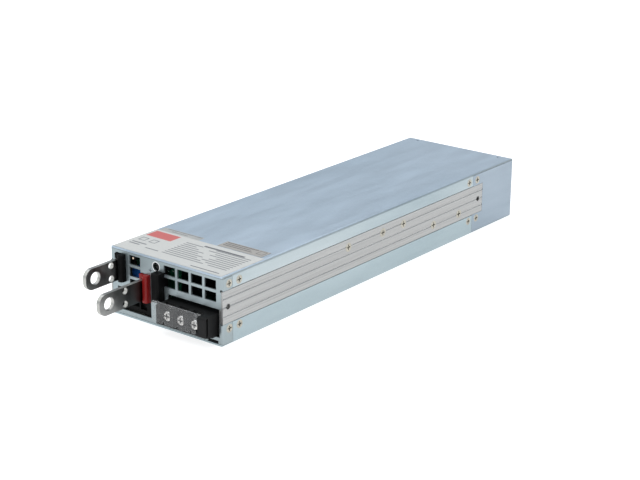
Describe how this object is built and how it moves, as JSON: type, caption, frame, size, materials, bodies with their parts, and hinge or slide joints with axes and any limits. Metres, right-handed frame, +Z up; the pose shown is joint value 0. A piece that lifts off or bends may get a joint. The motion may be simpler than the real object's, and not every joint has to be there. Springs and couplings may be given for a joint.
{
  "type": "switching power supply",
  "caption": "Slim enclosed switching power supply with front busbar outputs, a covered input terminal block, side heatsinks and rear fans.",
  "frame": {"origin": "middle of the case's underside", "axes": "+Y from the front panel to the fans, +Z up, +X to the right seen from the front"},
  "size_m": [0.085, 0.3361, 0.0411],
  "materials": {
    "zinc_steel": "zinc plated, satin",
    "extrusion": "satin",
    "screw_plating": "plated",
    "nickel": "bright plated",
    "copper_plate": "bright tin plated",
    "black_plastic": "moulded, semi matt",
    "red_plastic": "moulded",
    "clear_plastic": "clear",
    "green_board": "solder mask",
    "white_film": "satin film",
    "grey_film": "satin film",
    "insulation": "film",
    "blue_resin": "dipped",
    "led_lens": "diffused",
    "can_sleeve": "sleeve",
    "ferrite": "matt",
    "winding": "enamelled wire",
    "yellow_tape": "tape",
    "grey_box": "moulded",
    "glass_body": "clear",
    "fan_plastic": "glass filled",
    "cream_plastic": "moulded"
  },
  "bodies": {
    "case": {"bottom_chassis": "zinc_steel", "top_cover": "zinc_steel", "front_panel": "zinc_steel", "rear_shell": "zinc_steel", "heatsink_left": "extrusion", "heatsink_right": "extrusion", "case_screws": "screw_plating", "heatsink_screws": "screw_plating", "insulation_sheet": "insulation", "board_standoffs": "nickel", "board_screws": "nickel", "main_board": "green_board", "busbar_negative": "copper_plate", "busbar_positive": "copper_plate", "bushing_negative": "black_plastic", "bushing_positive": "red_plastic", "divider_wall": "black_plastic", "terminal_block": "black_plastic", "terminal_contacts": "nickel", "terminal_clamps": "nickel", "terminal_screws": "nickel", "upright_board": "green_board", "trimmer_body": "blue_resin", "status_led": "led_lens", "disc_capacitors": "blue_resin", "signal_connector": "black_plastic", "signal_pins": "nickel", "fan_frame_left": "fan_plastic", "fan_frame_right": "fan_plastic", "fan_screws": "screw_plating", "fuse": "glass_body", "line_choke_cores": "ferrite", "line_choke_windings": "winding", "film_capacitors": "yellow_tape", "bridge_rectifier": "grey_box", "boost_choke_core": "ferrite", "boost_choke_winding": "winding", "bulk_capacitors": "can_sleeve", "output_capacitors": "can_sleeve", "output_chokes": "ferrite", "resonant_choke": "ferrite", "inrush_relay": "grey_box", "transformer_core": "ferrite", "transformer_winding": "yellow_tape", "transistors_right": "grey_box", "transistors_left": "grey_box", "clamp_bars_right": "nickel", "clamp_bars_left": "nickel", "top_label": "white_film", "small_label": "grey_film"},
    "left_fan": {"fan_rotor_left": "fan_plastic"},
    "right_fan": {"fan_rotor_right": "fan_plastic"},
    "cover": {"terminal_cover": "clear_plastic"},
    "trimmer": {"trimmer_rotor": "cream_plastic"}
  },
  "joints": [
    {"name": "left_fan_spin", "type": "hinge", "parent": "case", "child": "left_fan", "pos_m": [-0.0202, 0.134, 0.0205], "axis": [0, 1, 0], "continuous": true},
    {"name": "right_fan_spin", "type": "hinge", "parent": "case", "child": "right_fan", "pos_m": [0.0202, 0.134, 0.0205], "axis": [0, 1, 0], "continuous": true},
    {"name": "cover_hinge", "type": "hinge", "parent": "case", "child": "cover", "pos_m": [0.0163, -0.1582, 0.0178], "axis": [-1, 0, 0], "range_deg": [0, 95]},
    {"name": "trimmer_turn", "type": "hinge", "parent": "case", "child": "trimmer", "pos_m": [-0.0069, -0.1466, 0.036], "axis": [0, -1, 0], "range_deg": [-120, 120]}
  ]
}
